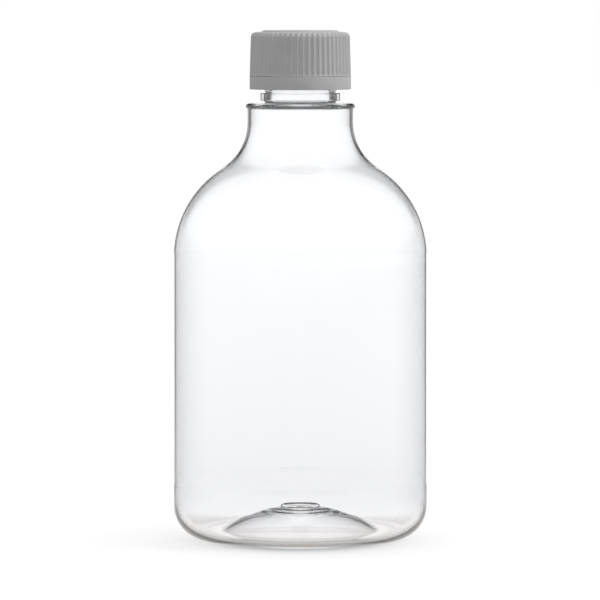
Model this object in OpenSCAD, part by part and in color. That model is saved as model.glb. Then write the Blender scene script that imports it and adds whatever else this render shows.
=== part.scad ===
// Clear round bottle with a wide drawn neck, a ribbed screw cap, its liner and its tamper band.
// Millimetres, +Z up. The origin is the centre of the standing ring, on the surface it stands on.

/* [Body] */
// Diameter of the body above and below the label panel
body_d = 76.5; // [72:0.5:84]
// Wall of the blown body and shoulder
body_wall = 0.45; // [0.35:0.05:0.8]
// Height at which the straight wall turns into the shoulder
shoulder_z = 85.5; // [60:0.5:120]
// Radius of the shoulder's arc
shoulder_r = 32; // [29:0.5:35]
// Radius of the heel
heel_r = 10; // [7:0.5:12]

/* [Label panel] */
// How far the panel is set back from the body
panel_depth = 0.15; // [0.1:0.05:0.3]
// Height of the panel's lower edge above the heel
panel_rise = 6.6; // [3:0.2:20]
// How far the panel's upper edge runs up into the shoulder
panel_overrun = 1; // [0:0.1:2]
// Height of the slope at each edge of the panel
panel_edge = 0.4; // [0.2:0.1:1]

/* [Base] */
// Thickness of the base at the standing ring
base_t = 1; // [0.7:0.1:1.6]
// Height of the push-up at its centre, on the underside
push_up = 8.6; // [5:0.2:12]
// Radius of the push-up where it meets the surface the bottle stands on
push_up_r = 23.8; // [18:0.2:24.6]
// Thickness of the base at its centre
centre_t = 1.8; // [1.2:0.1:3]
// Radius that blends the push-up into the standing ring
foot_round = 1.2; // [0.5:0.1:2]
// Diameter of the thick disc round the moulding gate
gate_disc_d = 11.3; // [8:0.1:16]
// Depth of that disc below the push-up
gate_disc_h = 0.5; // [0.2:0.1:1]
// Diameter of the gate's stub
gate_d = 2.8; // [1.5:0.1:4]
// Length of the gate's stub
gate_h = 0.6; // [0.2:0.1:1]
// Height of the rim over the disc's edge, on the upper face of the base
gate_rim_h = 0.45; // [0.2:0.05:0.6]
// Width of that rim's level top
gate_rim_w = 0.4; // [0.3:0.1:0.8]
// Depth of the dish inside the rim
gate_dish_h = 0.35; // [0.1:0.05:0.5]

/* [Wide neck] */
// Diameter of the straight wide neck under the support ring
neck_d = 31.9; // [30:0.1:32.8]
// Wall of the wide neck
neck_wall = 1.05; // [0.7:0.05:1.4]
// Height of the straight wide neck
neck_h = 4.3; // [3:0.1:12]
// Radius that blends the shoulder into the wide neck
neck_blend_r = 16; // [12:0.5:20]

/* [Support ring] */
// Diameter of the support ring
ring_d = 33; // [33:0.1:35]
// Height of the support ring at its rim
ring_h = 1.6; // [1.4:0.1:2.4]
// Radius of the ring's upper edge
ring_round = 1.2; // [0.6:0.1:1.2]
// Radius of the ring's lower edge
ring_under_round = 0.35; // [0.2:0.05:0.5]
// Thickness of the web from the throat out to the wide neck
web_t = 1; // [0.8:0.1:1.4]
// Radius inside the web, where the wide neck turns in
web_under_round = 0.9; // [0.4:0.1:2]
// Radius inside the web, where it turns up into the throat
throat_round = 2; // [1:0.1:2.4]

/* [Finish] */
// Height from the support ring's top to the sealing land
finish_h = 19.6; // [19.2:0.1:24]
// Bore of the mouth
mouth_d = 21.6; // [20:0.1:22]
// Depth of the mouth's straight bore below the land
mouth_h = 10.1; // [8:0.1:10.5]
// Bore of the narrower throat
throat_d = 17.5; // [15:0.1:18.5]
// Length of the cone from the mouth's bore down to the throat
throat_cone_h = 4; // [3:0.1:4.5]
// Diameter of the neck between the threads
root_d = 24.9; // [24.6:0.1:25.2]
// Chamfer of the sealing land's outer edge
land_chamfer = 0.4; // [0.2:0.1:0.6]
// Diameter of the neck's waist, above and below the bead
waist_d = 21.6; // [21:0.1:22.4]
// Diameter of the bead above the support ring
bead_d = 24.1; // [23:0.1:24.6]
// Height of the bead
bead_h = 2.35; // [1.6:0.05:2.6]
// Height of the bead above the support ring
bead_rise = 0.65; // [0.4:0.05:1]
// Radius of the bead's edges
bead_round = 0.3; // [0.2:0.05:0.5]
// Diameter of the ledge that holds the tamper band
ledge_d = 27.2; // [26.6:0.1:27.4]
// Depth of the ledge's underside below the land
ledge_drop = 13.7; // [13.2:0.1:14]
// Height of the ledge's rim
ledge_h = 1; // [0.6:0.1:1.2]

/* [Thread] */
// Crest diameter of the bottle's thread
thread_d = 27.4; // [27:0.1:27.7]
// Pitch of the thread, which is right-handed
pitch = 3.18; // [3:0.01:3.4]
// Turns of the bottle's thread
thread_turns = 1.8; // [1:0.05:1.85]
// Depth of the thread's upper end below the land
thread_drop = 3; // [2.5:0.1:3.1]
// Width of the bottle's thread at its root
thread_root_w = 2; // [1.6:0.1:2.1]
// Width of the bottle's thread at its crest
thread_crest_w = 0.9; // [0.6:0.1:1.1]
// Turns of the cap's thread
cap_thread_turns = 1.7; // [1:0.05:1.7]
// Angle by which the cap's thread starts after the bottle's
cap_thread_lead = 10; // [5:1:30]
// Width of the cap's thread at its root
cap_thread_root_w = 1.6; // [1.2:0.1:1.7]
// Width of the cap's thread at its crest
cap_thread_crest_w = 0.7; // [0.5:0.1:0.8]
// Radial clearance between each crest and the root it faces
thread_clear = 0.27; // [0.2:0.01:0.4]

/* [Cap] */
// Diameter of the skirt at its lower edge, over the ribs
cap_d = 30.6; // [30.3:0.1:32]
// Diameter of the skirt at its upper edge, over the ribs
cap_top_d = 29.9; // [29.8:0.1:31]
// Thickness of the top
cap_top_t = 1; // [0.8:0.1:1.6]
// Radius of the edge between skirt and top
cap_round = 1.3; // [0.8:0.1:1.6]
// Diameter of the raised disc on the top
disc_d = 22.4; // [16:0.2:25]
// Height of that disc
disc_h = 0.35; // [0.2:0.05:0.8]
// Number of flutes round the skirt
flutes = 56; // [36:1:60]
// Radius of each flute
flute_r = 0.75; // [0.6:0.05:0.8]
// Depth of each flute
flute_depth = 0.38; // [0.25:0.01:0.4]
// Height of the plain rim below the flutes
rim_h = 0.45; // [0.3:0.05:1]

/* [Tamper band] */
// Height of the band
band_h = 3.7; // [3.4:0.1:4]
// Wall of the band
band_wall = 0.9; // [0.7:0.05:1]
// Height of the slit between the cap and the band
slit = 0.35; // [0.25:0.05:0.5]
// Number of bridges that close the slit until the first opening
bridges = 14; // [8:1:20]
// Width of each bridge, both ways
bridge_w = 0.6; // [0.4:0.05:0.8]
// Number of pawls inside the band
pawls = 12; // [8:1:16]
// Angle that each pawl covers
pawl_angle = 18; // [12:1:20]
// Height of each pawl
pawl_h = 1.5; // [1.2:0.1:1.7]
// How far each pawl reaches in under the ledge
pawl_reach = 0.65; // [0.4:0.05:0.8]
// Gap between the pawls and the ledge's underside
pawl_gap = 0.3; // [0.2:0.05:0.4]

/* [Liner] */
// Diameter of the sealing liner
liner_d = 26.6; // [26.2:0.1:27]
// Thickness of the liner
liner_t = 0.9; // [0.6:0.1:1.5]
// How far the bead that keeps the liner in the cap reaches in under it
keeper_reach = 0.35; // [0.2:0.05:0.4]
// Height of that bead
keeper_h = 0.5; // [0.3:0.05:0.7]
// Gap between the keeper and the liner
keeper_gap = 0.1; // [0.05:0.05:0.3]

/* [Hidden] */
$fn = 96;

body_radius = body_d / 2;
neck_radius = neck_d / 2;
root_radius = root_d / 2;
thread_radius = thread_d / 2;
mouth_radius = mouth_d / 2;
throat_radius = throat_d / 2;
cap_radius = cap_d / 2;

// Height of the blend arc's centre, where it is tangent to the shoulder's arc and to the neck
function blend_z(body, neck, shoulder, blend) =
    shoulder_z + sqrt(pow(shoulder + blend, 2) - pow(neck + blend - body + shoulder, 2));

neck_z = blend_z(body_radius, neck_radius, shoulder_r, neck_blend_r);
ring_z = neck_z + neck_h;
ring_top_z = ring_z + ring_h;
land_z = ring_top_z + finish_h;
ledge_z = land_z - ledge_drop;
bead_z = ring_top_z + bead_rise;

pawl_top_z = ledge_z - pawl_gap;
band_z = pawl_top_z - pawl_h;
band_top_z = band_z + band_h;
band_inner_r = cap_radius - band_wall;
skirt_z = band_top_z + slit;
cap_inner_r = thread_radius + thread_clear;
plate_z = land_z + liner_t;
cap_z = plate_z + cap_top_t;

// Slope of the skirt's side from its lower edge to its upper edge
skirt_draft = atan((cap_d - cap_top_d) / 2 / (cap_z - skirt_z));

// Angle over which each end of a thread fades into its root, and its steps per turn
thread_fade = 30;
thread_steps = 36;
// Share of its full height that a thread keeps at its very end, inside the wall
thread_end = 0.1;
// Depth by which a thread's root is sunk into the wall that carries it
thread_sink = 0.3;

clear_blue = [0.86, 0.91, 0.94, 0.4];
cap_grey = [0.6, 0.6, 0.6];
liner_white = [0.92, 0.92, 0.9];

// Points on an arc about [x, z], from angle a to angle b, from the step that is named first
function arc(x, z, r, a, b, n, first = 0) =
    [for (i = [first:n]) [x + r * cos(a + (b - a) * i / n), z + r * sin(a + (b - a) * i / n)]];

// Radius of the sphere whose cap is h high and r in radius
function cap_sphere(r, h) = (r * r + h * h) / (2 * h);

// A dome of radius big about [0, z], blended by a fillet into the level floor outside it
function dome(big, z, start_r, floor, fillet) =
    let (
        fillet_z = floor + fillet,
        fillet_x = sqrt(pow(big + fillet, 2) - pow(fillet_z - z, 2)),
        a = atan2(fillet_z - z, fillet_x)
    )
    concat(
        arc(0, z, big, acos(start_r / big), a, 10),
        arc(fillet_x, fillet_z, fillet, a + 180, 270, 5, 1)
    );

// Side of the body from the heel up to the neck, for the outside or the inside of the wall
function side(body, neck, shoulder, blend, heel, floor) =
    let (
        panel = body - panel_depth,
        low_z = heel_r + panel_rise,
        high_z = shoulder_z + panel_overrun,
        shoulder_x = body - shoulder,
        top_z = blend_z(body, neck, shoulder, blend),
        turn = atan2(top_z - shoulder_z, neck + blend - shoulder_x),
        start = asin((high_z + panel_edge - shoulder_z) / shoulder)
    )
    concat(
        arc(body - heel, floor + heel, heel, -90, 0, 14),
        [[body, low_z - panel_edge], [panel, low_z], [panel, high_z]],
        arc(shoulder_x, shoulder_z, shoulder, start, turn, 16),
        arc(neck + blend, top_z, blend, turn + 180, 180, 14, 1)
    );

// Underside of the base: the gate's stub, its disc and the push-up
function underside() =
    let (
        big = cap_sphere(push_up_r, push_up),
        z = push_up - big,
        disc_r = gate_disc_d / 2,
        disc_z = z + sqrt(big * big - disc_r * disc_r) - gate_disc_h
    )
    concat(
        [[0, disc_z - gate_h], [gate_d / 2, disc_z - gate_h], [gate_d / 2, disc_z]],
        [[disc_r - gate_disc_h, disc_z]],
        dome(big, z, disc_r, 0, foot_round)
    );

// Outside of the finish, from under the support ring up to the sealing land
function finish() =
    let (
        rim = ring_d / 2,
        waist = waist_d / 2,
        bead = bead_d / 2,
        ledge = ledge_d / 2,
        // The lower edge's radius takes no more than the upper edge's radius leaves of the rim
        under = min(ring_under_round, ring_h - ring_round)
    )
    concat(
        [[neck_radius, ring_z]],
        arc(rim - under, ring_z + under, under, -90, 0, 4),
        arc(rim - ring_round, ring_top_z - ring_round, ring_round, 0, 90, 8),
        [[waist, ring_top_z], [waist, bead_z]],
        arc(bead - bead_round, bead_z + bead_round, bead_round, -90, 0, 4),
        arc(bead - bead_round, bead_z + bead_h - bead_round, bead_round, 0, 90, 4),
        [[waist, bead_z + bead_h], [waist, ledge_z], [ledge, ledge_z], [ledge, ledge_z + ledge_h]],
        [[root_radius, ledge_z + ledge_h + ledge - root_radius]],
        [[root_radius, land_z - land_chamfer], [root_radius - land_chamfer, land_z]]
    );

// Inside of the finish, from the land down to the wide neck
function bore() =
    let (
        wide = neck_radius - neck_wall,
        web_z = ring_top_z - web_t,
        throat_z = land_z - mouth_h - throat_cone_h
    )
    concat(
        [[mouth_radius, land_z], [mouth_radius, land_z - mouth_h], [throat_radius, throat_z]],
        arc(throat_radius + throat_round, web_z + throat_round, throat_round, 180, 270, 8),
        arc(wide - web_under_round, web_z - web_under_round, web_under_round, 90, 0, 8)
    );

function reversed(points) = [for (i = [len(points) - 1:-1:0]) points[i]];

// Upper face of the base, from the heel in to the centre, with a rim and a dish over the gate's disc
function base_inside() =
    let (
        rise = push_up + centre_t - base_t,
        big = cap_sphere(push_up_r, rise),
        z = base_t + rise - big,
        rim_out = gate_disc_d / 2 + 0.1,
        rim_in = rim_out - gate_rim_w,
        start_r = rim_out + 0.2,
        rim_z = z + sqrt(big * big - start_r * start_r) + gate_rim_h,
        dish_z = rim_z - gate_dish_h
    )
    reversed(concat(
        [[0, dish_z], [rim_in - 2 * gate_dish_h, dish_z], [rim_in, rim_z], [rim_out, rim_z]],
        dome(big, z, start_r, base_t, foot_round)
    ));

// Closed half section of the whole bottle
function bottle_section() =
    concat(
        underside(),
        side(body_radius, neck_radius, shoulder_r, neck_blend_r, heel_r, 0),
        finish(),
        bore(),
        reversed(
            side(
                body_radius - body_wall, neck_radius - neck_wall, shoulder_r - body_wall,
                neck_blend_r + neck_wall, heel_r - body_wall, base_t
            )
        ),
        base_inside()
    );

// Helical ridge whose ends fade into the wall at root_r
module ridge(root_r, crest_r, root_w, crest_w, start_z, start_angle, turns) {
    outward = crest_r > root_r;
    base_r = outward ? root_r - thread_sink : root_r + thread_sink;
    steps = ceil(turns * thread_steps);
    points = [
        for (i = [0:steps])
            let (
                along = i * turns * 360 / steps,
                from_end = min(along, turns * 360 - along),
                tip_r = base_r + (crest_r - base_r) * max(thread_end, min(1, from_end / thread_fade)),
                a = start_angle + along,
                z = start_z + pitch * along / 360
            )
            for (corner = [
                [base_r, -root_w / 2], [base_r, root_w / 2],
                [tip_r, crest_w / 2], [tip_r, -crest_w / 2]
            ])
                [corner[0] * cos(a), corner[0] * sin(a), z + corner[1]]
    ];
    sides = [
        for (i = [0:steps - 1], k = [0:3])
            let (p = 4 * i + k, q = 4 * i + (k + 1) % 4)
            for (face = [[p, q, q + 4], [p, q + 4, p + 4]])
                face
    ];
    ends = [[3, 2, 1, 0], [for (k = [0:3]) 4 * steps + k]];
    faces = concat(sides, ends);
    polyhedron(points = points, faces = outward ? [for (f = faces) reversed(f)] : faces, convexity = 6);
}

module bottle() {
    color(clear_blue)
    union() {
        rotate_extrude() polygon(bottle_section());
        ridge(
            root_radius, thread_radius, thread_root_w, thread_crest_w,
            land_z - thread_drop - pitch * thread_turns, 0, thread_turns
        );
    }
}

// Half section of the cap before its flutes are cut
function cap_section() =
    let (
        top = cap_top_d / 2,
        keeper_z = land_z - keeper_gap,
        keeper = liner_d / 2 - keeper_reach
    )
    concat(
        [[0, plate_z], [cap_inner_r, plate_z], [cap_inner_r, keeper_z]],
        [[keeper, keeper_z - keeper_h / 2], [cap_inner_r, keeper_z - keeper_h]],
        [[cap_inner_r, skirt_z], [cap_radius, skirt_z]],
        arc(top - cap_round, cap_z - cap_round, cap_round, skirt_draft, 90, 8),
        [[disc_d / 2 + disc_h, cap_z], [disc_d / 2, cap_z + disc_h], [0, cap_z + disc_h]]
    );

module flute_cuts() {
    for (i = [0:flutes - 1])
        rotate([0, 0, 360 * i / flutes])
            translate([cap_radius + flute_r - flute_depth, 0, skirt_z + rim_h])
                rotate([0, -skirt_draft, 0])
                    cylinder(r = flute_r, h = 2 * (cap_z - skirt_z), $fn = 24);
}

module cap() {
    color(cap_grey)
    union() {
        difference() {
            rotate_extrude() polygon(cap_section());
            flute_cuts();
        }
        // The cap's ridge runs midway between the turns of the bottle's thread
        ridge(
            cap_inner_r, root_radius + thread_clear, cap_thread_root_w, cap_thread_crest_w,
            land_z - thread_drop - pitch * (thread_turns + 0.5) + pitch * cap_thread_lead / 360,
            cap_thread_lead, cap_thread_turns
        );
    }
}

module liner() {
    color(liner_white)
    translate([0, 0, land_z])
        cylinder(d = liner_d, h = liner_t);
}

// Pawl in section: level on top, sloping up from the band's lower edge
module pawl() {
    inner = ledge_d / 2 - pawl_reach;
    rotate([0, 0, -pawl_angle / 2])
        rotate_extrude(angle = pawl_angle)
            polygon([
                [band_inner_r + band_wall / 3, band_z], [inner, pawl_top_z - pawl_h / 3],
                [inner, pawl_top_z], [band_inner_r + band_wall / 3, pawl_top_z]
            ]);
}

module tamper_band() {
    bridge_x = band_inner_r + (band_wall - bridge_w) / 2;
    color(cap_grey)
    union() {
        rotate_extrude()
            translate([band_inner_r, band_z])
                square([band_wall, band_h]);
        for (i = [0:pawls - 1])
            rotate([0, 0, 360 * i / pawls])
                pawl();
        for (i = [0:bridges - 1])
            rotate([0, 0, 360 * i / bridges])
                translate([bridge_x, -bridge_w / 2, band_top_z - bridge_w])
                    cube([bridge_w, bridge_w, bridge_w + slit]);
    }
}

bottle();
cap();
liner();
tamper_band();
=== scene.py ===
# %% [markdown]
# # A clear bottle with a ribbed grey cap
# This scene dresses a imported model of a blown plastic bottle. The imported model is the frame: it fixes every
# size and place, and nothing here moves it. Each piece is turned as a smooth mesh in the space that its solid
# holds.

import math

import bmesh
import bpy
from mathutils import Matrix, Vector


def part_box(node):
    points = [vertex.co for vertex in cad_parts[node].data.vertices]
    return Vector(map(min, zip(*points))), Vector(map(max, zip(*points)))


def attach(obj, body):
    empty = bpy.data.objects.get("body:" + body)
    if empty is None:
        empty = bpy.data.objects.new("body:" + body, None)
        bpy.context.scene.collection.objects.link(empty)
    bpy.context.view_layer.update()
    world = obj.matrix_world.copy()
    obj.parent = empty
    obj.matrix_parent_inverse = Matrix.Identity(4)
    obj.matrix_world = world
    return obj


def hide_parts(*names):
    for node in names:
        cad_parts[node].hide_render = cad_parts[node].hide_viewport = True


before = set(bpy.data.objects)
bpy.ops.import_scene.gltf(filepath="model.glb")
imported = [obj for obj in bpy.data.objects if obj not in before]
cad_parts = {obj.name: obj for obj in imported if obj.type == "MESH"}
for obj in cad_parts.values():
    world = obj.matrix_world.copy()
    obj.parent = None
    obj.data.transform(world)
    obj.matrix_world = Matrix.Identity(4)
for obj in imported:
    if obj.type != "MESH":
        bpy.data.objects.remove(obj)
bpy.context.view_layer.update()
MM = 0.001


# %% [markdown]
# ## Measuring the frame
# The bottle, cap, band and liner are all round about the Z axis, so their main heights and radii come
# straight from the boxes of their solids. What a box can't tell, such as the radius of a shoulder, is a named
# value in millimetres.

# %% Heights and radii from the frame
def height_and_radius(node):
    """Lowest height, highest height and radius of a round node, in millimetres."""
    low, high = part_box(node)
    return low.z / MM, high.z / MM, high.x / MM


_, land_z, body_r = height_and_radius("bottle")
skirt_z, cap_top_z, cap_r = height_and_radius("cap")
band_z, bridge_top_z, band_r = height_and_radius("tamper_band")
liner_z, liner_top_z, liner_r = height_and_radius("liner")
print("land", round(land_z, 2), "cap", round(skirt_z, 2), round(cap_top_z, 2), "band", round(band_z, 2))


# %% [markdown]
# ## Turning a section
# A blown or moulded round piece is a section swept once round its axis. The section is a list of corner
# points, with each round stretch worked out as an arc. Spin sweeps it through one sector, because a long spin
# gets slow, and copies of the sector complete the turn. Doubled points at the seams and on the axis are
# merged, and then the normals are recalculated, because a spin can leave a shell inside out.

# %% Arcs and turned solids
TURN_STEPS = 192
MERGE_DISTANCE = 0.002


def arc(x, z, r, start, end, steps, first=0):
    """Points on an arc about (x, z), from angle start to angle end in degrees."""
    angles = [math.radians(start + (end - start) * i / steps) for i in range(first, steps + 1)]
    return [(x + r * math.cos(a), z + r * math.sin(a)) for a in angles]


def copies(bm, count):
    """Turns all that a bmesh holds about Z, into count evenly spaced copies."""
    geom = bm.verts[:] + bm.edges[:] + bm.faces[:]
    for i in range(1, count):
        made = bmesh.ops.duplicate(bm, geom=geom)["geom"]
        verts = [g for g in made if isinstance(g, bmesh.types.BMVert)]
        bmesh.ops.rotate(bm, verts=verts, matrix=Matrix.Rotation(math.tau * i / count, 3, "Z"))


def turned(section, steps=TURN_STEPS, sectors=8, closed=False):
    """A bmesh of the section turned once about Z. A closed section is a ring that stays off the axis."""
    bm = bmesh.new()
    verts = [bm.verts.new((x * MM, 0, z * MM)) for x, z in section]
    pairs = list(zip(verts, verts[1:]))
    if closed:
        pairs.append((verts[-1], verts[0]))
    edges = [bm.edges.new(pair) for pair in pairs]
    bmesh.ops.spin(
        bm, geom=verts + edges, cent=(0, 0, 0), axis=(0, 0, 1),
        angle=math.tau / sectors, steps=steps // sectors,
    )
    copies(bm, sectors)
    bmesh.ops.remove_doubles(bm, verts=bm.verts, dist=MERGE_DISTANCE * MM)
    bmesh.ops.recalc_face_normals(bm, faces=bm.faces)
    return bm


# %% Rounded corners
def eased(corners, steps=5):
    """Section points from corners (x, z, r), each rounded by an arc of radius r, or sharp where r is 0."""
    points = []
    for i, (x, z, r) in enumerate(corners):
        if not r:
            points.append((x, z))
            continue
        corner = Vector((x, z))
        back = (Vector(corners[i - 1][:2]) - corner).normalized()
        ahead = (Vector(corners[(i + 1) % len(corners)][:2]) - corner).normalized()
        half = back.angle(ahead) / 2
        centre = corner + (back + ahead).normalized() * r / math.sin(half)
        begin = corner + back * r / math.tan(half) - centre
        end = corner + ahead * r / math.tan(half) - centre
        start = math.degrees(math.atan2(begin.y, begin.x))
        turn = (math.degrees(math.atan2(end.y, end.x)) - start + 180) % 360 - 180
        points += arc(centre.x, centre.y, r, start, start + turn, steps)
    return points


# %% From a bmesh to a piece
def piece(name, bm, sharp_angle=35):
    """A new object from a bmesh, smooth except over edges sharper than sharp_angle degrees."""
    mesh = bpy.data.meshes.new(name)
    bm.to_mesh(mesh)
    bm.free()
    mesh.shade_smooth()
    mesh.set_sharp_from_angle(angle=math.radians(sharp_angle))
    obj = bpy.data.objects.new(name, mesh)
    bpy.context.scene.collection.objects.link(obj)
    print(name, "has", len(mesh.polygons), "faces")
    return obj


def add_to(bm, extra):
    """Adds a second bmesh to the first and frees it."""
    mesh = bpy.data.meshes.new("extra")
    extra.to_mesh(mesh)
    extra.free()
    bm.from_mesh(mesh)
    bpy.data.meshes.remove(mesh)


# %% [markdown]
# ## The clear body
# The bottle is stretched and blown from one preform, so its wall is thin at the body and thick at the neck,
# where the plastic wasn't stretched. Clear plastic shows its inside as well as its outside. So the section
# goes up the outside and down the inside as one closed line, and light bends at both faces, as it does in the
# real wall.

# %% Side of the body
SHOULDER_Z, SHOULDER_R, BLEND_R, HEEL_R = 85.5, 32, 16, 10
PANEL_DEPTH, PANEL_RISE, PANEL_OVERRUN, PANEL_EDGE = 0.15, 6.6, 1, 0.4
PANEL_ROWS = 24


def side(body, neck, shoulder, blend, heel, floor):
    """Side of the body from the heel up to the wide neck, for the outside or the inside of the wall."""
    across = neck + blend - body + shoulder
    top_z = SHOULDER_Z + math.sqrt((shoulder + blend) ** 2 - across ** 2)
    turn = math.degrees(math.atan2(top_z - SHOULDER_Z, across))
    low_z, high_z = HEEL_R + PANEL_RISE, SHOULDER_Z + PANEL_OVERRUN
    start = math.degrees(math.asin((high_z + PANEL_EDGE - SHOULDER_Z) / shoulder))
    rows = [low_z + (high_z - low_z) * i / PANEL_ROWS for i in range(PANEL_ROWS + 1)]
    return (
        arc(body - heel, floor + heel, heel, -90, 0, 24)
        + [(body, low_z - PANEL_EDGE)] + [(body - PANEL_DEPTH, z) for z in rows]
        + arc(body - shoulder, SHOULDER_Z, shoulder, start, turn, 40)
        + arc(neck + blend, top_z, blend, turn + 180, 180, 32, 1)
    )


print("body", round(2 * body_r, 2), "mm across, its label panel", PANEL_DEPTH, "mm deep")


# %% [markdown]
# ### The base
# A thin flat base would bulge, so it is pushed up into a dome and the bottle stands on a ring. In the middle
# is the gate, the stub through which the preform was filled. It has a disc round it, and the plastic that
# flowed past it leaves rings too faint to feel.

# %% Underside
PUSH_UP, PUSH_UP_R, FOOT_ROUND = 8.6, 23.8, 1.2
GATE_DISC_R, GATE_DISC_H, GATE_R, GATE_H = 5.65, 0.5, 1.4, 0.6


def cap_sphere(r, h):
    """Radius of the sphere whose cap is h high and r in radius."""
    return (r * r + h * h) / (2 * h)


def dome(big, z, start_r, floor, fillet, steps=28):
    """A dome of radius big about (0, z), blended by a fillet into the level floor outside it."""
    fillet_z = floor + fillet
    fillet_x = math.sqrt((big + fillet) ** 2 - (fillet_z - z) ** 2)
    turn = math.degrees(math.atan2(fillet_z - z, fillet_x))
    begin = math.degrees(math.acos(start_r / big))
    return arc(0, z, big, begin, turn, steps) + arc(fillet_x, fillet_z, fillet, turn + 180, 270, 8, 1)


def underside():
    """The gate's stub, its disc and the push-up, from the axis out."""
    big = cap_sphere(PUSH_UP_R, PUSH_UP)
    z = PUSH_UP - big
    disc_z = z + math.sqrt(big ** 2 - GATE_DISC_R ** 2) - GATE_DISC_H
    stub_z = disc_z - GATE_H
    gate = [(0, stub_z), (GATE_R, stub_z), (GATE_R, disc_z), (GATE_DISC_R - GATE_DISC_H, disc_z)]
    return gate + dome(big, z, GATE_DISC_R, 0, FOOT_ROUND)


print("the gate's stub ends", round(underside()[0][1], 2), "mm above the floor")


# %% Floor of the inside
BASE_T, CENTRE_T = 1, 1.8
GATE_RIM_H, GATE_RIM_W, GATE_RIM_GAP, GATE_DISH_H = 0.45, 0.4, 0.1, 0.35
RIPPLE_H, RIPPLE_LENGTH = 0.005, 2.6
RIPPLE_START, RIPPLE_GROWTH, RIPPLE_END, RIPPLE_FADE = 6.5, 2, 15, 3
RIPPLE_STEPS = 80


def ripple(x):
    """Height of the faint rings that flowing plastic leaves round the gate, at radius x."""
    spread = max(0, min(1, (x - RIPPLE_START) / RIPPLE_GROWTH, (RIPPLE_END - x) / RIPPLE_FADE))
    return RIPPLE_H * spread * math.sin(math.tau * x / RIPPLE_LENGTH)


def inside_floor():
    """A dished disc in a low rim, and then the push-up with its faint rings, from the axis out."""
    rise = PUSH_UP + CENTRE_T - BASE_T
    big = cap_sphere(PUSH_UP_R, rise)
    rim_out = GATE_DISC_R + GATE_RIM_GAP
    smooth_floor = dome(
        big, BASE_T + rise - big, rim_out + 2 * GATE_RIM_GAP, BASE_T, FOOT_ROUND, RIPPLE_STEPS,
    )
    floor = [(x, z + ripple(x)) for x, z in smooth_floor]
    rim_in, rim_z = rim_out - GATE_RIM_W, floor[0][1] + GATE_RIM_H
    dish_z = rim_z - GATE_DISH_H
    gate = eased([
        (0, dish_z, 0), (rim_in - 2 * GATE_DISH_H, dish_z, 0.3), (rim_in, rim_z, 0.2),
        (rim_out, rim_z, 0.15), (*floor[0], 0),
    ])
    return gate[:-1] + floor


print("the inside's floor has", len(inside_floor()), "points")


# %% [markdown]
# ### The finish
# The finish is the part of the neck that takes the closure. It isn't blown but moulded with the preform, so
# its edges are crisp: a support ring, a bead, a ledge that holds back the tamper band, and the sealing land.
# The wide neck below it is joined to it by a level web.

# %% Outside and inside of the finish
NECK_R, NECK_WALL, NECK_H = 15.95, 1.05, 4.3
RING_R, RING_H, RING_ROUND, RING_UNDER = 16.5, 1.6, 1.2, 0.35
WAIST_R, BEAD_R, BEAD_H, BEAD_RISE, BEAD_ROUND = 10.8, 12.05, 2.35, 0.65, 0.3
LEDGE_R, LEDGE_DROP, LEDGE_H = 13.6, 13.7, 1
ROOT_R, LAND_ROUND = 12.45, 0.4
WEB_T, WEB_UNDER, THROAT_ROUND = 1, 0.9, 2
MOUTH_R, MOUTH_H, THROAT_R, CONE_H = 10.8, 10.1, 8.75, 4


def finish(ring_z):
    """Outside of the finish, from under the support ring up to the sealing land."""
    ring_top = ring_z + RING_H
    bead_x, bead_z = BEAD_R - BEAD_ROUND, ring_top + BEAD_RISE
    ledge_z = land_z - LEDGE_DROP
    ledge_top = ledge_z + LEDGE_H
    return (
        [(NECK_R, ring_z)]
        + arc(RING_R - RING_UNDER, ring_z + RING_UNDER, RING_UNDER, -90, 0, 6)
        + arc(RING_R - RING_ROUND, ring_top - RING_ROUND, RING_ROUND, 0, 90, 12)
        + [(WAIST_R, ring_top), (WAIST_R, bead_z)]
        + arc(bead_x, bead_z + BEAD_ROUND, BEAD_ROUND, -90, 0, 6)
        + arc(bead_x, bead_z + BEAD_H - BEAD_ROUND, BEAD_ROUND, 0, 90, 6)
        + [(WAIST_R, bead_z + BEAD_H), (WAIST_R, ledge_z), (LEDGE_R, ledge_z), (LEDGE_R, ledge_top)]
        + [(ROOT_R, ledge_top + LEDGE_R - ROOT_R)]
        + arc(ROOT_R - LAND_ROUND, land_z - LAND_ROUND, LAND_ROUND, 0, 90, 5)
    )


def bore(ring_top):
    """Inside of the finish, from the land down to the wide neck."""
    wide = NECK_R - NECK_WALL
    web_z = ring_top - WEB_T
    throat_z = land_z - MOUTH_H - CONE_H
    return (
        [(MOUTH_R, land_z), (MOUTH_R, land_z - MOUTH_H), (THROAT_R, throat_z)]
        + arc(THROAT_R + THROAT_ROUND, web_z + THROAT_ROUND, THROAT_ROUND, 180, 270, 14)
        + arc(wide - WEB_UNDER, web_z - WEB_UNDER, WEB_UNDER, 90, 0, 10)
    )


print("support ring", 2 * RING_R, "mm across, mouth", 2 * MOUTH_R, "mm across")


# %% Section of the bottle
BODY_WALL = 0.45


def bottle_section():
    """Closed half section of the bottle: out along the base, up the outside and down the inside."""
    outside = side(body_r, NECK_R, SHOULDER_R, BLEND_R, HEEL_R, 0)
    inside = side(
        body_r - BODY_WALL, NECK_R - NECK_WALL, SHOULDER_R - BODY_WALL,
        BLEND_R + NECK_WALL, HEEL_R - BODY_WALL, BASE_T,
    )
    ring_z = outside[-1][1] + NECK_H
    outer_line = underside() + outside + finish(ring_z)
    return outer_line + bore(ring_z + RING_H) + inside[::-1] + inside_floor()[::-1]


section = bottle_section()
print("the bottle's section has", len(section), "points")


# %% [markdown]
# ## The thread
# A thread is one ridge wound round the neck. Here a small face, the ridge's section, is screwed about Z by a
# spin with a rise per step, and its two ends are pulled back into the wall, as a real thread runs out. On
# clear plastic the ridge can't just stand in the wall, because the hidden faces would bend light, so a
# Boolean joins the two.

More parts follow.
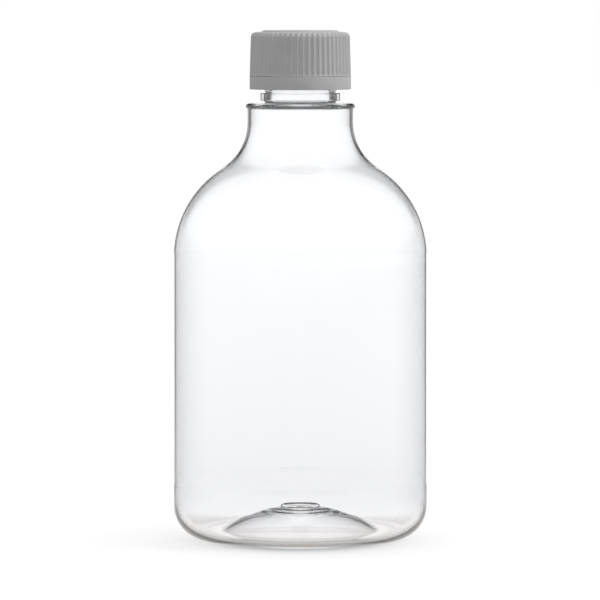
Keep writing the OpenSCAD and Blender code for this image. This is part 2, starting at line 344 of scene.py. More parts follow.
# %% Screw a ridge
PITCH, STEPS_PER_TURN = 3.18, 90
CREST_LIP, CREST_OUT, CREST_IN = 0.15, 0.08, 0.12
FADE_ANGLE, FADE_LEAST = 30, 0.1


def ridge(base_r, crest_r, root_w, crest_w, start_z, start_angle, turns):
    """A bmesh of a ridge screwed about Z, from its base inside the wall to its crest."""
    bm = bmesh.new()
    lip_r = crest_r - math.copysign(CREST_LIP, crest_r - base_r)
    lip, flat = crest_w / 2 + CREST_OUT, crest_w / 2 - CREST_IN
    slope = [
        (base_r, -root_w / 2), (lip_r, -lip), (crest_r, -flat),
        (crest_r, flat), (lip_r, lip), (base_r, root_w / 2),
    ]
    face = bm.faces.new([bm.verts.new((r * MM, 0, (start_z + z) * MM)) for r, z in slope])
    bmesh.ops.rotate(bm, verts=bm.verts, matrix=Matrix.Rotation(start_angle, 3, "Z"))
    steps = math.ceil(turns * STEPS_PER_TURN)
    bmesh.ops.spin(
        bm, geom=[*face.verts, *face.edges, face], cent=(0, 0, 0), axis=(0, 0, 1),
        dvec=(0, 0, PITCH * turns / steps * MM), angle=math.tau * turns, steps=steps,
    )
    for vert in bm.verts:
        part_turn = (math.atan2(vert.co.y, vert.co.x) - start_angle) / math.tau
        whole_turns = round((vert.co.z / MM - start_z) / PITCH - part_turn)
        travelled = 360 * (part_turn + whole_turns)
        keep = max(FADE_LEAST, min(1, min(travelled, 360 * turns - travelled) / FADE_ANGLE))
        radius = vert.co.xy.length / MM
        vert.co.xy *= (base_r + (radius - base_r) * keep) / radius
    bmesh.ops.recalc_face_normals(bm, faces=bm.faces)
    return bm


# %% Join the thread to the neck
THREAD_SINK, THREAD_R, THREAD_TURNS, THREAD_DROP = 0.3, 13.7, 1.8, 3


def unite(bm, tool_bm, name):
    """The Boolean union of two closed bmeshes, as a new bmesh."""
    objects = []
    for part in (bm, tool_bm):
        mesh = bpy.data.meshes.new(name)
        part.to_mesh(mesh)
        part.free()
        objects.append(bpy.data.objects.new(name, mesh))
        bpy.context.scene.collection.objects.link(objects[-1])
    boolean = objects[0].modifiers.new("join", "BOOLEAN")
    boolean.operation, boolean.solver, boolean.object = "UNION", "MANIFOLD", objects[1]
    bpy.context.view_layer.update()
    result = bmesh.new()
    result.from_object(objects[0], bpy.context.evaluated_depsgraph_get())
    for obj in objects:
        mesh = obj.data
        bpy.data.objects.remove(obj)
        bpy.data.meshes.remove(mesh)
    return result


thread_z = land_z - THREAD_DROP - PITCH * THREAD_TURNS
thread_bm = ridge(
    base_r=ROOT_R - THREAD_SINK, crest_r=THREAD_R, root_w=2, crest_w=0.9,
    start_z=thread_z, start_angle=0, turns=THREAD_TURNS,
)
bottle = piece("clear_bottle", unite(turned(section), thread_bm, "neck_thread"))
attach(bottle, "bottle")
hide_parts("bottle")
print("thread from", round(thread_z, 2), "mm up,", THREAD_TURNS, "turns")


# %% [markdown]
# ## The ribbed cap
# The cap is moulded in a ribbed cavity, so its grip is a ring of shallow rounded grooves that run out over
# the top edge and end above a plain rim. A turned shell has plenty of steps round it, so the grooves are cut
# by moving its outer points in, as far as a round cutter would. The edge of each cut is blended, as wear and
# polishing of a mould leave it.

# %% Section of the cap
DISC_R, DISC_H = 11.2, 0.35
DIMPLE_R, DIMPLE_FLOOR_R, DIMPLE_H = 0.9, 0.7, 0.12
CAP_TOP_R, CAP_ROUND, CAP_FALL = 14.95, 1.4, 0.25
CAP_INNER_R, RIM_H, LINER_ROOM = 13.97, 0.3, 0.9
LINER_GAP, KEEPER_REACH, KEEPER_H = 0.1, 0.35, 0.5
ROW_START, FINE_ROW, WIDE_ROW = 0.11, 0.09, 1.2

slope_z = cap_top_z - DISC_H
plate_z = land_z + LINER_ROOM
edge_z = slope_z - CAP_FALL - CAP_ROUND
draft = math.degrees(math.atan2(cap_r - CAP_TOP_R, edge_z - skirt_z))
keeper_z = land_z - LINER_GAP
keeper_r = liner_r - KEEPER_REACH


def skirt_r(z):
    """Radius of the cap's outside at height z, between the grooves."""
    return cap_r - (z - skirt_z) * math.tan(math.radians(draft))


inside_corners = eased([
    (0, plate_z, 0), (CAP_INNER_R, plate_z, 0.15), (CAP_INNER_R, keeper_z, 0),
    (keeper_r, keeper_z - KEEPER_H / 2, 0.12), (CAP_INNER_R, keeper_z - KEEPER_H, 0),
    (CAP_INNER_R, skirt_z, 0.1), (cap_r, skirt_z, 0.1), (skirt_r(skirt_z + RIM_H), skirt_z + RIM_H, 0),
])[:-1]
fine_rows = [skirt_z + ROW_START + FINE_ROW * i for i in range(9)]
wide_rows = [skirt_z + WIDE_ROW * i for i in range(1, 10)]
top_corners = eased([
    (CAP_TOP_R - CAP_ROUND, slope_z - CAP_FALL, 0), (DISC_R + DISC_H, slope_z, 0.25),
    (DISC_R, cap_top_z, 0.2), (DIMPLE_R, cap_top_z, 0.1),
    (DIMPLE_FLOOR_R, cap_top_z - DIMPLE_H, 0.1), (0, cap_top_z - DIMPLE_H, 0),
])
cap_section = (
    inside_corners + [(skirt_r(z), z) for z in fine_rows + wide_rows]
    + arc(CAP_TOP_R - CAP_ROUND, edge_z, CAP_ROUND, draft, 90, 20) + top_corners[1:]
)
print("the cap's section has", len(cap_section), "points and a draft of", round(draft, 2), "degrees")


# %% Shape of a groove
FLUTES, FLUTE_R, FLUTE_DEPTH, FLUTE_BLEND = 56, 0.75, 0.38, 0.22


def soft_min(a, b, blend):
    """The smaller of two lengths, with a smooth change from one to the other."""
    mix = max(0, min(1, 0.5 + 0.5 * (b - a) / blend))
    return b + (a - b) * mix - blend * mix * (1 - mix)


def smooth(value, low, high):
    """A smooth step from 0 at low to 1 at high."""
    part = max(0, min(1, (value - low) / (high - low)))
    return part * part * (3 - 2 * part)


def groove_depth(off):
    """How deep the grooves are at angle off from the middle of the nearest one, in millimetres."""
    centre = cap_r + FLUTE_R - FLUTE_DEPTH
    reach = centre * math.cos(off) - math.sqrt(max(0, FLUTE_R ** 2 - (centre * math.sin(off)) ** 2))
    return cap_r - soft_min(cap_r, reach, FLUTE_BLEND)


print(FLUTES, "grooves,", round(groove_depth(0), 2), "mm deep")


# %% Cut the grooves
STEPS_PER_FLUTE, CAP_SECTORS = 10, 14
GROOVE_START, GROOVE_RUN = 0.15, 0.3
GROOVE_FADE_START, GROOVE_FADE_END = 50, 88
TOP_REACH, INSIDE_MARGIN = 0.5, 0.2


def in_grip(radius, z):
    """Whether a point of the cap lies outside, where the grooves may move it."""
    above_rim = z >= skirt_z + GROOVE_START
    inside_wall = z < plate_z and radius < CAP_INNER_R + INSIDE_MARGIN
    return above_rim and radius >= CAP_INNER_R - TOP_REACH and not inside_wall


cap_bm = turned(cap_section, steps=FLUTES * STEPS_PER_FLUTE, sectors=CAP_SECTORS)
for vert in cap_bm.verts:
    radius, z = vert.co.xy.length / MM, vert.co.z / MM
    if not in_grip(radius, z):
        continue
    lean = math.atan2(z - edge_z, radius - CAP_TOP_R + CAP_ROUND) if z > edge_z else 0
    angle = math.atan2(vert.co.y, vert.co.x) * FLUTES / math.tau
    depth = groove_depth((angle - round(angle)) * math.tau / FLUTES)
    depth *= smooth(z, skirt_z + GROOVE_START, skirt_z + GROOVE_START + GROOVE_RUN)
    depth *= 1 - smooth(math.degrees(lean), GROOVE_FADE_START, GROOVE_FADE_END)
    vert.co.xy *= (radius - depth * math.cos(lean)) / radius
    vert.co.z -= depth * math.sin(lean) * MM
print("the grooves start", GROOVE_START, "mm above the skirt's edge")


# %% Wind the cap's own thread
CAP_THREAD_GAP, CAP_THREAD_ANGLE, CAP_THREAD_TURNS = 0.27, 10, 1.7

add_to(cap_bm, ridge(
    base_r=CAP_INNER_R + THREAD_SINK, crest_r=ROOT_R + CAP_THREAD_GAP, root_w=1.6, crest_w=0.7,
    start_z=thread_z - PITCH / 2 + PITCH * CAP_THREAD_ANGLE / 360,
    start_angle=math.radians(CAP_THREAD_ANGLE), turns=CAP_THREAD_TURNS,
))
cap = piece("ribbed_cap", cap_bm, sharp_angle=50)
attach(cap, "cap")
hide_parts("cap")


# %% [markdown]
# ## The tamper band
# The band is a thin ring under the cap. A knife slits it from the cap after moulding and leaves thin bridges
# until the first opening, and sloped pawls inside it catch under a ledge on the neck. The slit closes up
# again behind the knife, so the ring's wall stands almost up to the cap. Every moulded edge is slightly
# round, so each gets a small bevel.

# %% Turn the band
BAND_WALL, BAND_H, SLIT = 0.9, 3.7, 0.04

band_inner = band_r - BAND_WALL
band_top = band_z + BAND_H
cut_z = skirt_z - SLIT
band_corners = eased([
    (band_inner, band_z, 0.12), (band_r, band_z, 0.15), (band_r, cut_z, 0.25), (band_inner, cut_z, 0.05),
])
band_bm = turned(band_corners, steps=256, closed=True)
print("band from", round(band_z, 2), "to", round(band_top, 2))


# %% Set its bridges
BRIDGES, BRIDGE_W, BRIDGE_ROUND = 14, 0.6, 0.12

bridge_bm = bmesh.new()
bmesh.ops.create_cube(bridge_bm, size=1)
bridge_low = band_top - BRIDGE_W
bridge_size = Vector((BRIDGE_W, BRIDGE_W, bridge_top_z - bridge_low)) * MM
bridge_place = Vector((band_inner + BAND_WALL / 2, 0, (bridge_low + bridge_top_z) / 2)) * MM
bmesh.ops.scale(bridge_bm, verts=bridge_bm.verts, vec=bridge_size)
bmesh.ops.translate(bridge_bm, verts=bridge_bm.verts, vec=bridge_place)
uprights = [e for e in bridge_bm.edges if e.verts[0].co.z != e.verts[1].co.z]
bmesh.ops.bevel(
    bridge_bm, geom=uprights, offset=BRIDGE_ROUND * MM, affect="EDGES", segments=3, profile=0.5, material=-1,
)
copies(bridge_bm, BRIDGES)
add_to(band_bm, bridge_bm)
print(BRIDGES, "bridges with", len(uprights), "rounded edges each")


# %% Set its pawls
PAWLS, PAWL_ANGLE, PAWL_H, PAWL_REACH, PAWL_ROUND = 12, 18, 1.5, 0.65, 0.1

pawl_bm = bmesh.new()
pawl_top = band_z + PAWL_H
pawl_in, pawl_out = LEDGE_R - PAWL_REACH, band_inner + BAND_WALL / 3
corners = [(pawl_out, band_z), (pawl_in, pawl_top - PAWL_H / 3), (pawl_in, pawl_top), (pawl_out, pawl_top)]
face = pawl_bm.faces.new([pawl_bm.verts.new((r * MM, 0, z * MM)) for r, z in corners])
first_turn = Matrix.Rotation(math.radians(-PAWL_ANGLE / 2), 3, "Z")
bmesh.ops.rotate(pawl_bm, verts=pawl_bm.verts, matrix=first_turn)
bmesh.ops.spin(
    pawl_bm, geom=[*face.verts, *face.edges, face], cent=(0, 0, 0), axis=(0, 0, 1),
    angle=math.radians(PAWL_ANGLE), steps=10,
)
bmesh.ops.recalc_face_normals(pawl_bm, faces=pawl_bm.faces)
corner_edges = [e for e in pawl_bm.edges if e.calc_face_angle(0) > math.radians(30)]
bmesh.ops.bevel(
    pawl_bm, geom=corner_edges, offset=PAWL_ROUND * MM, affect="EDGES", segments=2, profile=0.5, material=-1,
)
copies(pawl_bm, PAWLS)
add_to(band_bm, pawl_bm)
band = piece("tamper_ring", band_bm, sharp_angle=40)
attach(band, "tamper_band")
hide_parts("tamper_band")
print(PAWLS, "pawls")


# %% [markdown]
# ## The liner
# The liner is a foam disc punched from a sheet and pushed into the cap. The mouth's rim presses a shallow
# groove into it, so its section has one step down and one step up.

# %% Turn the liner
PRESSED, PRESS_SLOPE = 0.05, 0.1

liner_corners = eased([
    (0, liner_z, 0), (MOUTH_R - 2 * PRESS_SLOPE, liner_z, 0.05),
    (MOUTH_R - PRESS_SLOPE, liner_z + PRESSED, 0.05), (ROOT_R + PRESS_SLOPE, liner_z + PRESSED, 0.05),
    (ROOT_R + 2 * PRESS_SLOPE, liner_z, 0.05), (liner_r, liner_z, 0.15),
    (liner_r, liner_top_z, 0.15), (0, liner_top_z, 0),
])
liner = piece("foam_liner", turned(liner_corners))
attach(liner, "liner")
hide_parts("liner")


# %% [markdown]
# ## Materials
# The wall is clear plastic: a Principled BSDF with full transmission and the plastic's own index of
# refraction. Its surface isn't perfectly flat, because it froze while it was being blown, so a broad, very
# low bump bends the light a little, and round the gate it is a little hazy. The cap is a satin polypropylene
# with a fine grain from the mould's spark erosion, and its pigment isn't spread quite evenly. The liner is a
# foam with small open cells.

# %% Helpers for shader groups
# A Mix node has sockets A, B and Result for each kind of value. These are the places of the colour ones.
MIX_COLOUR_A, MIX_COLOUR_B, MIX_COLOUR_RESULT = 6, 7, 2


def new_group(name, inputs, outputs):
    """A shader group with sockets from (name, kind, value) inputs and (name, kind) outputs."""
    group = bpy.data.node_groups.new(name, "ShaderNodeTree")
    for title, kind, value in inputs:
        socket = group.interface.new_socket(name=title, in_out="INPUT", socket_type="NodeSocket" + kind)
        socket.default_value = value
    for title, kind in outputs:
        group.interface.new_socket(name=title, in_out="OUTPUT", socket_type="NodeSocket" + kind)
    return group, group.nodes.new("NodeGroupInput").outputs, group.nodes.new("NodeGroupOutput").inputs


def placed_noise(tree, scale, stretch=None, detail=2):
    """A noise texture in object space and its value."""
    place = tree.nodes.new("ShaderNodeTexCoord")
    mapping = tree.nodes.new("ShaderNodeMapping")
    noise = tree.nodes.new("ShaderNodeTexNoise")
    noise.inputs["Detail"].default_value = detail
    tree.links.new(place.outputs["Object"], mapping.inputs["Vector"])
    if stretch:
        tree.links.new(stretch, mapping.inputs["Scale"])
    tree.links.new(mapping.outputs["Vector"], noise.inputs["Vector"])
    tree.links.new(scale, noise.inputs["Scale"])
    return noise.outputs["Fac"]


def mix_colours(tree, factor):
    """A Mix node for colours that follows factor: its first and second colour and its result."""
    node = tree.nodes.new("ShaderNodeMix")
    node.data_type = "RGBA"
    tree.links.new(factor, node.inputs["Factor"])
    return node.inputs[MIX_COLOUR_A], node.inputs[MIX_COLOUR_B], node.outputs[MIX_COLOUR_RESULT]


# %% Grain and mottle, the groups that the materials share
MOTTLE_LOW, MOTTLE_HIGH = 0.7, 1.3


def grain_group():
    """A bump made of noise, with its scale, height and stretch given per material."""
    group, given, result = new_group(
        "surface_grain",
        [("Scale", "Float", 100), ("Height", "Float", 0.0001), ("Stretch", "Vector", (1, 1, 1))],
        [("Normal", "Vector")],
    )
    bump = group.nodes.new("ShaderNodeBump")
    bump.inputs["Strength"].default_value = 1
    group.links.new(placed_noise(group, given["Scale"], given["Stretch"]), bump.inputs["Height"])
    group.links.new(given["Height"], bump.inputs["Distance"])
    group.links.new(bump.outputs["Normal"], result["Normal"])
    return group


def mottle_group():
    """Two colours and two roughness values, mixed unevenly by a broad and a fine noise."""
    group, given, result = new_group(
        "uneven_mix",
        [
            ("Broad", "Float", 100), ("Fine", "Float", 1000), ("Dark", "Color", (0, 0, 0, 1)),
            ("Light", "Color", (1, 1, 1, 1)), ("Smooth", "Float", 0.4), ("Rough", "Float", 0.5),
        ],
        [("Color", "Color"), ("Roughness", "Float")],
    )
    broad = placed_noise(group, given["Broad"])
    fine = placed_noise(group, given["Fine"], detail=4)
    both = group.nodes.new("ShaderNodeMath")
    both.operation = "ADD"
    group.links.new(broad, both.inputs[0])
    group.links.new(fine, both.inputs[1])
    spread = group.nodes.new("ShaderNodeMapRange")
    spread.inputs["From Min"].default_value = MOTTLE_LOW
    spread.inputs["From Max"].default_value = MOTTLE_HIGH
    group.links.new(both.outputs["Value"], spread.inputs["Value"])
    dark, light, mixed = mix_colours(group, spread.outputs["Result"])
    group.links.new(given["Dark"], dark)
    group.links.new(given["Light"], light)
    group.links.new(mixed, result["Color"])
    rough = group.nodes.new("ShaderNodeMix")
    rough.data_type = "FLOAT"
    group.links.new(broad, rough.inputs["Factor"])
    group.links.new(given["Smooth"], rough.inputs["A"])
    group.links.new(given["Rough"], rough.inputs["B"])
    group.links.new(rough.outputs["Result"], result["Roughness"])
    return group


GRAIN, MOTTLE = grain_group(), mottle_group()
print("shader groups:", [g.name for g in bpy.data.node_groups])


# %% Helpers for materials
def new_material(name, **sockets):
    """A material with one Principled BSDF whose sockets are set to the given constants."""
    material = bpy.data.materials.new(name)
    material.use_nodes = True
    shader = material.node_tree.nodes["Principled BSDF"]
    for socket, value in sockets.items():
        shader.inputs[socket.replace("_", " ").title().replace("Ior", "IOR")].default_value = value
    return material, material.node_tree, shader


def use_group(tree, group, **values):
    """Puts a shader group into a material and sets its inputs."""
    node = tree.nodes.new("ShaderNodeGroup")
    node.node_tree = group
    for name, value in values.items():
        node.inputs[name].default_value = value
    return node.outputs


# %% Clear wall
CLEAR_TINT = (0.985, 0.988, 0.997, 1)
ABSORB_TINT, ABSORB_DENSITY = (0.30, 0.38, 0.45, 1), 10

clear, tree, shader = new_material("clear_blown_plastic", ior=1.575, base_color=CLEAR_TINT)
shader.inputs["Transmission Weight"].default_value = 1
waves = use_group(tree, GRAIN, Scale=45, Height=0.00002, Stretch=(1, 1, 0.35))
tree.links.new(waves["Normal"], shader.inputs["Normal"])
depth = tree.nodes.new("ShaderNodeVolumeAbsorption")
depth.inputs["Color"].default_value = ABSORB_TINT
depth.inputs["Density"].default_value = ABSORB_DENSITY
tree.links.new(depth.outputs["Volume"], tree.nodes["Material Output"].inputs["Volume"])
print("the plastic's index of refraction is", round(shader.inputs["IOR"].default_value, 3))

# %% Haze round the gate
HAZE, HAZE_R, HAZE_FULL_R = 0.07, 0.0065, 0.00195
HAZE_CENTRE = (0, 0, 0.009)

place = tree.nodes.new("ShaderNodeTexCoord")
from_gate = tree.nodes.new("ShaderNodeVectorMath")
from_gate.operation = "DISTANCE"
from_gate.inputs[1].default_value = HAZE_CENTRE
haze = tree.nodes.new("ShaderNodeMapRange")
for name, value in (("From Min", HAZE_FULL_R), ("From Max", HAZE_R), ("To Min", HAZE), ("To Max", 0)):
    haze.inputs[name].default_value = value
tree.links.new(place.outputs["Object"], from_gate.inputs[0])
tree.links.new(from_gate.outputs["Value"], haze.inputs["Value"])
tree.links.new(haze.outputs["Result"], shader.inputs["Roughness"])
print("haze up to", HAZE, "within", HAZE_R / MM, "mm of the gate")

# %% Grey cap
CAP_DARK, CAP_LIGHT = (0.345, 0.345, 0.347, 1), (0.385, 0.385, 0.383, 1)


def mottled_material(name, ior, **values):
    """A material whose colour and roughness come from the mottle group, set by the given values."""
    material, tree, shader = new_material(name, ior=ior)
    mixed = use_group(tree, MOTTLE, **values)
    tree.links.new(mixed["Color"], shader.inputs["Base Color"])
    tree.links.new(mixed["Roughness"], shader.inputs["Roughness"])
    return material, tree, shader


grey, tree, shader = mottled_material(
    "grey_moulded_plastic", 1.49,
    Broad=160, Fine=2200, Dark=CAP_DARK, Light=CAP_LIGHT, Smooth=0.4, Rough=0.58,
)
eroded = use_group(tree, GRAIN, Scale=2600, Height=0.00004)
tree.links.new(eroded["Normal"], shader.inputs["Normal"])
print("the cap's grey lies between", CAP_DARK[0], "and", CAP_LIGHT[0])

# %% Pale liner
FOAM_DARK, FOAM_LIGHT = (0.72, 0.72, 0.69, 1), (0.84, 0.84, 0.81, 1)
CELLS_PER_METRE, CELL_DEPTH = 2200, 0.00005

foam, tree, shader = mottled_material(
    "pale_cell_foam", 1.45,
    Broad=300, Fine=3000, Dark=FOAM_DARK, Light=FOAM_LIGHT, Smooth=0.6, Rough=0.8,
)
place = tree.nodes.new("ShaderNodeTexCoord")
cells = tree.nodes.new("ShaderNodeTexVoronoi")
cells.inputs["Scale"].default_value = CELLS_PER_METRE
bump = tree.nodes.new("ShaderNodeBump")
bump.inputs["Strength"].default_value = 1
bump.inputs["Distance"].default_value = CELL_DEPTH
tree.links.new(place.outputs["Object"], cells.inputs["Vector"])
tree.links.new(cells.outputs["Distance"], bump.inputs["Height"])
tree.links.new(bump.outputs["Normal"], shader.inputs["Normal"])
print("the foam's cells are", CELL_DEPTH / MM, "mm deep")

# %% Give each piece its material
for obj, material in ((bottle, clear), (cap, grey), (band, grey), (liner, foam)):
    obj.data.materials.append(material)
print("materials:", [m.name for m in bpy.data.materials])


# %% [markdown]
# ## Studio
# The bottle stands on a pale floor in a white room. What is seen straight through clear plastic is that
# white. In a real studio two dark flags stand behind the bottle, one on each side of the white backdrop. Only
# the plastic's mirrored light shows them, and that draws the dark lines at the edges of a clear bottle. Here
# the flags are no objects: Light Path counts a ray's reflections and passages, so the floor's glow and the
# world have them painted as dark levels for mirrored rays alone, and the bottle stays clear from every side.
#
# Clear plastic also gathers and spreads the light that falls on the floor. A renderer finds that light only
# with much noise, so it is painted into the floor's glow as levels that follow the distance from the axis: a
# painted soft contact shadow that the camera sees, and, for rays bent by the plastic, a painted dark shadow
# line round the foot, painted shade and painted warm light under the push-up, and painted shade on the floor
# within about a metre, which grows brighter than white far off.

# %% Short ways to add nodes
TO_DEGREES = 180 / math.pi


class Shades:
    """Short ways to add nodes to one node tree."""

    def __init__(self, tree):
        self.tree = tree

    def join(self, value, socket):
        """Links a socket, or sets a number."""
        if isinstance(value, (int, float)):
            socket.default_value = value
        else:
            self.tree.links.new(value, socket)

    def math(self, operation, *values):
        """A Math node's result."""
        node = self.tree.nodes.new("ShaderNodeMath")
        node.operation = operation
        for value, socket in zip(values, node.inputs):
            self.join(value, socket)
        return node.outputs[0]

    def mix(self, factor, first, second):
        """A value that goes from first to second as factor goes from 0 to 1."""
        node = self.tree.nodes.new("ShaderNodeMix")
        node.data_type = "FLOAT"
        for value, name in ((factor, "Factor"), (first, "A"), (second, "B")):
            self.join(value, node.inputs[name])
        return node.outputs["Result"]

    def split(self, kind):
        """The X, Y and Z parts of one kind of texture coordinate."""
        place = self.tree.nodes.new("ShaderNodeTexCoord")
        node = self.tree.nodes.new("ShaderNodeSeparateXYZ")
        self.tree.links.new(place.outputs[kind], node.inputs["Vector"])
        return node.outputs

    def ramp(self, value, low, high, stops):
        """A level that follows value, which runs from low to high, through (value, level) stops."""
        node = self.tree.nodes.new("ShaderNodeValToRGB")
        span = high - low
        self.join(self.math("MULTIPLY_ADD", value, 1 / span, -low / span), node.inputs["Fac"])
        elements = node.color_ramp.elements
        for i, (at, level) in enumerate(stops):
            part = (at - low) / span
            stop = elements[i] if i < 2 else elements.new(part)
            stop.position, stop.color = part, (level, level, level, 1)
        return node.outputs["Color"]

    def by_distance(self, stops, scale=(1, 1, 1), shift=(0, 0, 0)):
        """A level for the floor that follows the distance from the axis through (metres, level) stops."""
        place = self.tree.nodes.new("ShaderNodeTexCoord")
        moved = self.tree.nodes.new("ShaderNodeVectorMath")
        moved.operation = "MULTIPLY_ADD"
        moved.inputs[1].default_value, moved.inputs[2].default_value = scale, shift
        length = self.tree.nodes.new("ShaderNodeVectorMath")
        length.operation = "LENGTH"
        self.tree.links.new(place.outputs["Object"], moved.inputs[0])
        self.tree.links.new(moved.outputs["Vector"], length.inputs[0])
        distance = self.math("LOGARITHM", length.outputs["Value"], 10)
        return self.ramp(distance, -2, 1, [(math.log10(metres), level) for metres, level in stops])


# %% Levels for each kind of ray
class RayShades(Shades):
    """Levels that differ between rays that come straight from the camera and rays bent by the bottle."""

    def aside(self, x, y):
        """How far a direction turns aside from straight behind the bottle, from 0 to 180 degrees."""
        return self.math("MULTIPLY", self.math("ARCTAN2", self.math("ABSOLUTE", x), y), TO_DEGREES)

    def by_ray(self, through, mirrored, in_wall, within):
        """The level for a bent ray: straight through, mirrored outside, in one wall or within the bottle."""
        path = self.tree.nodes.new("ShaderNodeLightPath")
        bounced = self.math("GREATER_THAN", path.outputs["Glossy Depth"], 0.5)
        entered = self.math("GREATER_THAN", path.outputs["Transmission Depth"], 0.5)
        crossed = self.math("GREATER_THAN", path.outputs["Transmission Depth"], 2.5)
        inside = self.mix(crossed, in_wall, within)
        return self.mix(bounced, through, self.mix(entered, mirrored, inside))

    def kinds(self):
        """Two factors: 1 for glossy and transmission rays, and 1 for rays from the camera."""
        path = self.tree.nodes.new("ShaderNodeLightPath")
        bent = self.math("MAXIMUM", path.outputs["Is Glossy Ray"], path.outputs["Is Transmission Ray"])
        return bent, path.outputs["Is Camera Ray"]


# %% [markdown]
# ### Flags
# Each list in the cells below holds (value, level) stops for a Color Ramp: degrees aside for the flags,
# degrees up for their heights, and metres from the axis for the floor. A new ramp already has a first and a
# last stop, so these two come first in each list, and the stops between them follow. The flags differ by what
# the ray met: the outside of the bottle, one wall, or its inside.

# %% Flags
# The flags are no objects. Their dark levels are painted into the world and the floor's glow, for mirrored rays
# alone.
LOW_FLAGS = {
    "mirrored": [
        (0, 1), (180, 1), (10, 1), (11, 0.1), (14, 0.2), (18, 0.6),
        (23, 0.8), (30, 0.87), (60, 0.92), (80, 1),
    ],
    "in_wall": [(0, 1), (180, 1), (10, 1), (13, 0.04), (50, 0.08), (70, 0.6), (95, 1)],
    "within": [(0, 1), (180, 1), (10, 1), (14, 0.75), (60, 0.8), (75, 1)],
}
HIGH_FLAGS = {
    "mirrored": [(0, 1), (180, 1), (9, 1), (11, 0.04), (31, 0.06), (37, 0.7), (45, 1)],
    "in_wall": [(0, 1), (180, 1), (9, 1), (11, 0.05), (32, 0.06), (40, 0.6), (60, 1)],
    "within": [(0, 1), (180, 1), (3, 1), (6, 0.1), (26, 0.1), (36, 0.6), (50, 1)],
}
FLAG_HEIGHTS = [(-90, 0), (90, 0), (6, 0), (11, 1), (44, 1), (64, 0)]
ABOVE_FLAGS = [(-90, 0), (90, 1), (44, 0), (64, 1)]
print("kinds of mirrored rays:", list(LOW_FLAGS))

# %% [markdown]
# ### Floor
# The floor has to be white to the camera and still show a shadow, and a fully lit white floor would clip. So
# its own colour is a dark grey that catches the lamps' shadows faintly, and a glow on top of it makes up the
# white, with a painted contact shadow in it. Bent rays see a second set of levels on it, with painted flags,
# shade and warm light.

# %% Material of the floor
WHITE, FLOOR_GREY = 1.06, 0.12
LIT = 0.9 * FLOOR_GREY

floor_white, tree, shader = new_material(
    "floor_white", roughness=0.9, base_color=(FLOOR_GREY, FLOOR_GREY, FLOOR_GREY, 1),
)
shader.inputs["Specular IOR Level"].default_value = 0
shades = RayShades(tree)
bent, straight = shades.kinds()
x, y, _ = shades.split("Object")
aside = shades.aside(x, y)
print("the lamps and the world add", round(LIT, 3), "to the floor, and its glow adds the rest")

# %% What bent rays see of the floor
# What rays straight through the plastic see of the floor's glow: painted shade within about a metre of the
# bottle, and brighter than white far off.
THROUGH_PAINTED_LEVELS = [(0.01, 0.93), (5, 1.12), (0.1, 0.89), (0.25, 0.865), (0.63, 0.925), (1.3, 0.99), (2.2, 1.08)]
# A painted shadow: a dark ring on the floor round the foot, for bent rays only, full in front and weaker to the
# sides and behind.
FOOT_SHADOW_RING = [(0.01, 1), (5, 1), (0.0258, 1), (0.028, 0.5), (0.0295, 0.4), (0.033, 0.9), (0.04, 1)]
FOOT_SHADOW_SIDES = [(0, 0.15), (180, 1), (80, 0.2), (140, 1)]
# Painted shade under the push-up for bent rays, darker towards the inside of the foot, replaces the other
# levels there.
UNDER_PAINTED_PATCH = [(0.01, 1), (5, 0), (0.035, 1), (0.07, 0)]
UNDER_SHADE = [(0.01, 1), (5, 0.99), (0.016, 0.94), (0.022, 0.8), (0.0255, 0.97)]

# Painted reflections of the flags: the floor's glow is darker to the sides for mirrored and bent rays.
levels = {kind: shades.ramp(aside, 0, 180, stops) for kind, stops in LOW_FLAGS.items()}
foot_shadow = shades.mix(shades.ramp(aside, 0, 180, FOOT_SHADOW_SIDES), 1, shades.by_distance(FOOT_SHADOW_RING))
under = shades.by_distance(UNDER_PAINTED_PATCH)
bent_level = shades.by_ray(through=shades.by_distance(THROUGH_PAINTED_LEVELS), **levels)
bent_level = shades.mix(under, bent_level, shades.by_distance(UNDER_SHADE))
bent_level = shades.math("MULTIPLY", shades.math("MULTIPLY", bent_level, foot_shadow), bent)
print("nodes for bent rays:", len(tree.nodes))

# %% What the camera sees of the floor
# A painted contact shadow: the camera sees the floor's glow darker near the foot, by the distance from the
# axis.
PAINTED_CONTACT_SHADOW = [
    (0.01, 0.98), (5, 1), (0.02, 0.9), (0.024, 0.48), (0.027, 0.54), (0.036, 0.79),
    (0.043, 0.86), (0.062, 0.93), (0.09, 0.98),
]
# The painted contact shadow lies a little in front of the axis and is narrower across.
CONTACT_SCALE, CONTACT_SHIFT = (1.25, 1, 1), (0, 0.01, 0)
PLAIN, UNDER_PAINTED_WARM_LIGHT = (1, 1, 1, 1), (1, 0.965, 0.93, 1)

painted_contact_shadow = shades.by_distance(PAINTED_CONTACT_SHADOW, CONTACT_SCALE, CONTACT_SHIFT)
level = shades.mix(straight, bent_level, shades.math("MULTIPLY", painted_contact_shadow, WHITE))
glow = shades.math("MAXIMUM", shades.math("SUBTRACT", level, LIT), 0)
tree.links.new(glow, shader.inputs["Emission Strength"])
not_straight = shades.math("SUBTRACT", 1, straight)
# Painted warm light: under the push-up, bent rays see the floor's glow warm.
plain_side, painted_warm_side, tint = mix_colours(tree, shades.math("MULTIPLY", under, not_straight))
plain_side.default_value, painted_warm_side.default_value = PLAIN, UNDER_PAINTED_WARM_LIGHT
tree.links.new(tint, shader.inputs["Emission Color"])
print("nodes in the floor's material:", len(tree.nodes))

# %% Floor
FLOOR_SIZE = 12

bm = bmesh.new()
bmesh.ops.create_grid(bm, x_segments=1, y_segments=1, size=FLOOR_SIZE / 2)
floor = piece("floor", bm)
floor.data.materials.append(floor_white)


# %% [markdown]
# ### World
# The world is the far wall of the room. It is white to the camera, a plain level to soft light, and to
# mirrored rays it carries the flags on upwards.

# %% World
WORLD_LEVEL = 0.7

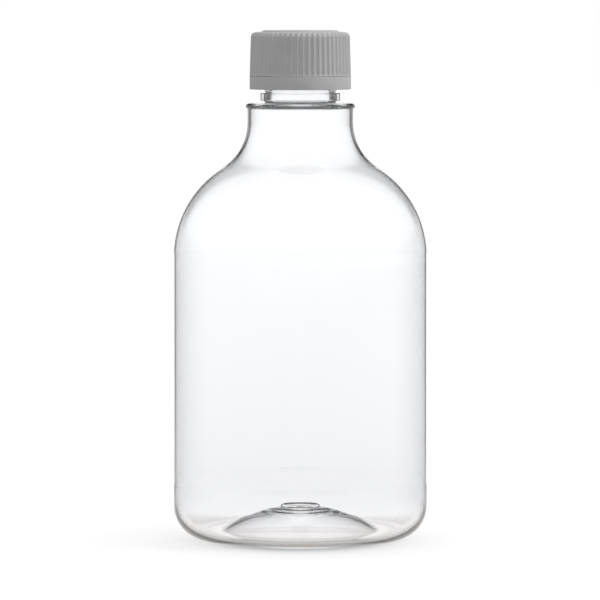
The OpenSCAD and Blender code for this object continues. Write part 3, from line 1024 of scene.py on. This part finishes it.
world = bpy.data.worlds.new("studio")
bpy.context.scene.world = world
world.use_nodes = True
tree = world.node_tree
tree.nodes.clear()
shades = RayShades(tree)
bent, straight = shades.kinds()
x, y, z = shades.split("Generated")
aside = shades.aside(x, y)
height = shades.math("MULTIPLY", shades.math("ARCSINE", z), TO_DEGREES)
at_flags = shades.ramp(height, -90, 90, FLAG_HEIGHTS)
above = shades.ramp(height, -90, 90, ABOVE_FLAGS)
levels = {}
for kind in LOW_FLAGS:
    low = shades.ramp(aside, 0, 180, LOW_FLAGS[kind])
    high = shades.ramp(aside, 0, 180, HIGH_FLAGS[kind])
    levels[kind] = shades.mix(above, shades.mix(at_flags, low, high), 1)
bent_level = shades.by_ray(through=WHITE, **levels)
level = shades.mix(straight, shades.mix(bent, WORLD_LEVEL, bent_level), 1)
background = tree.nodes.new("ShaderNodeBackground")
background.inputs["Color"].default_value = (1, 1, 1, 1)
output = tree.nodes.new("ShaderNodeOutputWorld")
tree.links.new(level, background.inputs["Strength"])
tree.links.new(background.outputs["Background"], output.inputs["Surface"])
print("world level for soft light:", WORLD_LEVEL)


# %% [markdown]
# ## Lamps
# A strong key lamp far to the side makes the ribs of the cap cast small shadows, and a weaker, broader fill
# lamp near the camera keeps them light. An area lamp gives shadows with soft edges. Both are hidden from
# mirrored and bent rays, so that no square shape shows in the plastic.

# %% Lamps
def lamp(name, place, target, size, power):
    """A soft area lamp at place that looks at target, and that glass and gloss don't mirror."""
    data = bpy.data.lights.new(name, "AREA")
    data.shape = "SQUARE"
    data.size = size
    data.energy = power
    obj = bpy.data.objects.new(name, data)
    bpy.context.scene.collection.objects.link(obj)
    obj.location = place
    obj.rotation_euler = (Vector(target) - Vector(place)).to_track_quat("-Z", "Y").to_euler()
    obj.visible_glossy = obj.visible_transmission = False


MIDDLE = (0, 0, 0.1)
lamp("key", place=(1.2, -0.1, 0.8), target=MIDDLE, size=0.5, power=15)
lamp("fill", place=(-0.6, -1.4, 0.5), target=MIDDLE, size=1, power=7)


# %% [markdown]
# ## Camera
# The bottle was photographed from well back with a long lens, a little above its middle. The distance,
# height, tilt and field of view were fitted to the heights and widths of its parts in the picture.

# %% Camera
CAMERA_BACK, CAMERA_UP, CAMERA_SIDE = 1.783, 0.1705, -0.0001
CAMERA_TILT, CAMERA_FIELD = 3.151, 5.815
CAMERA_REACH = 50

camera_data = bpy.data.cameras.new("camera")
camera_data.angle = math.radians(CAMERA_FIELD)
camera_data.clip_end = CAMERA_REACH
camera = bpy.data.objects.new("camera", camera_data)
bpy.context.scene.collection.objects.link(camera)
camera.location = (CAMERA_SIDE, -CAMERA_BACK, CAMERA_UP)
camera.rotation_euler = (math.radians(90 - CAMERA_TILT), 0, 0)
bpy.context.scene.camera = camera
bpy.context.scene.view_settings.view_transform = "Standard"
print("the camera's focal length is", round(camera_data.lens), "mm")
